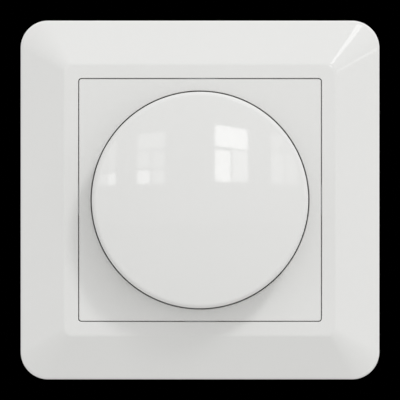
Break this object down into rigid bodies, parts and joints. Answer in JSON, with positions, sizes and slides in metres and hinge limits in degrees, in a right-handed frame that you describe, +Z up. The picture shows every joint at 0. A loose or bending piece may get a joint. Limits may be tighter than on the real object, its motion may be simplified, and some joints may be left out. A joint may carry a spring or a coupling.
{
  "type": "rotary dimmer switch",
  "caption": "White square wall dimmer with a large round knob that turns to dim and presses to switch, on a flush-box insert with claws and screw terminals.",
  "frame": {"origin": "where the knob's axis crosses the wall's surface, which is the back plane of the support plate and of the cover frame's rim", "axes": "-Y out of the wall into the room, towards whoever uses it; +Z up the wall; +X to the right as seen from the room"},
  "size_m": [0.0816, 0.0449, 0.0816],
  "materials": {
    "face_plastic": "high gloss white moulding",
    "plated_steel": "bright zinc-plated sheet",
    "claw_steel": "yellow-passivated zinc plating",
    "screw_steel": "zinc-plated",
    "spring_steel": "oiled spring steel",
    "brass": "turned and stamped brass",
    "shaft_metal": "turned",
    "can_steel": "nickel-plated sheet",
    "tinned_copper": "tin-plated copper",
    "housing_grey": "fine-textured dark grey moulding",
    "lid_grey": "smooth grey moulding",
    "black_moulding": "moulded",
    "slider_white": "moulded",
    "track_carbon": "carbon film on laminate",
    "board_laminate": "bonded paper laminate",
    "ferrite": "pressed powder ring",
    "copper_wire": "enamelled copper wire",
    "pad_grey": "filled silicone",
    "rivet_aluminium": "as drawn",
    "film_yellow": "moulded case",
    "film_blue": "dipped case",
    "resistor_beige": "lacquered",
    "diac_glass": "sealed glass"
  },
  "bodies": {
    "insert": {"support_plate": "plated_steel", "cover_frame": "face_plastic", "centre_plate": "face_plastic", "plate_nut": "screw_steel", "plate_washer": "screw_steel", "control_nut": "screw_steel", "control_lock_washer": "screw_steel", "housing_shell": "housing_grey", "housing_screws": "screw_steel", "insulating_lid": "lid_grey", "control_bushing": "brass", "control_can": "can_steel", "control_track": "track_carbon", "switch_body": "black_moulding", "switch_contacts": "brass", "return_spring": "spring_steel", "circuit_board": "board_laminate", "choke_core": "ferrite", "choke_winding": "copper_wire", "triac_tab": "tinned_copper", "triac_leads": "tinned_copper", "triac_body": "black_moulding", "insulating_pad": "pad_grey", "triac_rivet": "rivet_aluminium", "film_capacitor": "film_yellow", "timing_capacitor": "film_blue", "fuse": "black_moulding", "resistors": "resistor_beige", "diac": "diac_glass", "terminal_bars": "tinned_copper"},
    "control_turn": {"control_rotor": "black_moulding", "control_wiper": "brass"},
    "knob_and_shaft": {"knob": "face_plastic", "knob_hub_ring": "spring_steel", "shaft": "shaft_metal", "shaft_clip": "spring_steel"},
    "push_slider": {"switch_slider": "slider_white", "switch_bridge": "brass"},
    "claw_right": {"claw_right": "claw_steel"},
    "claw_screw_right": {"claw_screw_right": "screw_steel"},
    "claw_left": {"claw_left": "claw_steel"},
    "claw_screw_left": {"claw_screw_left": "screw_steel"},
    "terminal_cage_1": {"terminal_cage_1": "brass"},
    "terminal_screw_1": {"terminal_screw_1": "screw_steel"},
    "terminal_cage_2": {"terminal_cage_2": "brass"},
    "terminal_screw_2": {"terminal_screw_2": "screw_steel"},
    "terminal_cage_3": {"terminal_cage_3": "brass"},
    "terminal_screw_3": {"terminal_screw_3": "screw_steel"}
  },
  "joints": [
    {"name": "knob_turn", "type": "hinge", "parent": "insert", "child": "control_turn", "pos_m": [0, 0, 0], "axis": [0, 1, 0], "range_deg": [-140, 140]},
    {"name": "knob_push", "type": "slide", "parent": "control_turn", "child": "knob_and_shaft", "axis": [0, 1, 0], "range_m": [0, 0.0015], "stiffness_N_per_m": 2000, "springref_m": -0.0015},
    {"name": "switch_slide", "type": "slide", "parent": "insert", "child": "push_slider", "axis": [0, 1, 0], "range_m": [0, 0.0015], "deforming": ["return_spring"]},
    {"name": "claw_screw_right_turn", "type": "hinge", "parent": "insert", "child": "claw_screw_right", "pos_m": [0.02, 0, 0], "axis": [0, 1, 0], "range_deg": [0, 650]},
    {"name": "claw_right_swing", "type": "hinge", "parent": "insert", "child": "claw_right", "pos_m": [0.0233, 0.0216, 0], "axis": [0, 0, 1], "range_deg": [0, 16]},
    {"name": "claw_screw_left_turn", "type": "hinge", "parent": "insert", "child": "claw_screw_left", "pos_m": [-0.02, 0, 0], "axis": [0, 1, 0], "range_deg": [0, 650]},
    {"name": "claw_left_swing", "type": "hinge", "parent": "insert", "child": "claw_left", "pos_m": [-0.0233, 0.0216, 0], "axis": [0, 0, -1], "range_deg": [0, 16]},
    {"name": "terminal_screw_1_turn", "type": "hinge", "parent": "insert", "child": "terminal_screw_1", "pos_m": [-0.009, 0.02, -0.02], "axis": [0, 0, 1], "range_deg": [0, 1980]},
    {"name": "terminal_cage_1_slide", "type": "slide", "parent": "insert", "child": "terminal_cage_1", "axis": [0, 0, -1], "range_m": [0, 0.0033]},
    {"name": "terminal_screw_2_turn", "type": "hinge", "parent": "insert", "child": "terminal_screw_2", "pos_m": [0, 0.02, -0.02], "axis": [0, 0, 1], "range_deg": [0, 1980]},
    {"name": "terminal_cage_2_slide", "type": "slide", "parent": "insert", "child": "terminal_cage_2", "axis": [0, 0, -1], "range_m": [0, 0.0033]},
    {"name": "terminal_screw_3_turn", "type": "hinge", "parent": "insert", "child": "terminal_screw_3", "pos_m": [0.009, 0.02, -0.02], "axis": [0, 0, 1], "range_deg": [0, 1980]},
    {"name": "terminal_cage_3_slide", "type": "slide", "parent": "insert", "child": "terminal_cage_3", "axis": [0, 0, -1], "range_m": [0, 0.0033]}
  ],
  "couplings": [
    {"joint": "switch_slide", "follows": "knob_push", "ratio": 1},
    {"joint": "claw_screw_right_turn", "follows": "claw_right_swing", "ratio": 40.625},
    {"joint": "claw_screw_left_turn", "follows": "claw_left_swing", "ratio": 40.625},
    {"joint": "terminal_screw_1_turn", "follows": "terminal_cage_1_slide", "rad_per_m": 10472},
    {"joint": "terminal_screw_2_turn", "follows": "terminal_cage_2_slide", "rad_per_m": 10472},
    {"joint": "terminal_screw_3_turn", "follows": "terminal_cage_3_slide", "rad_per_m": 10472}
  ]
}
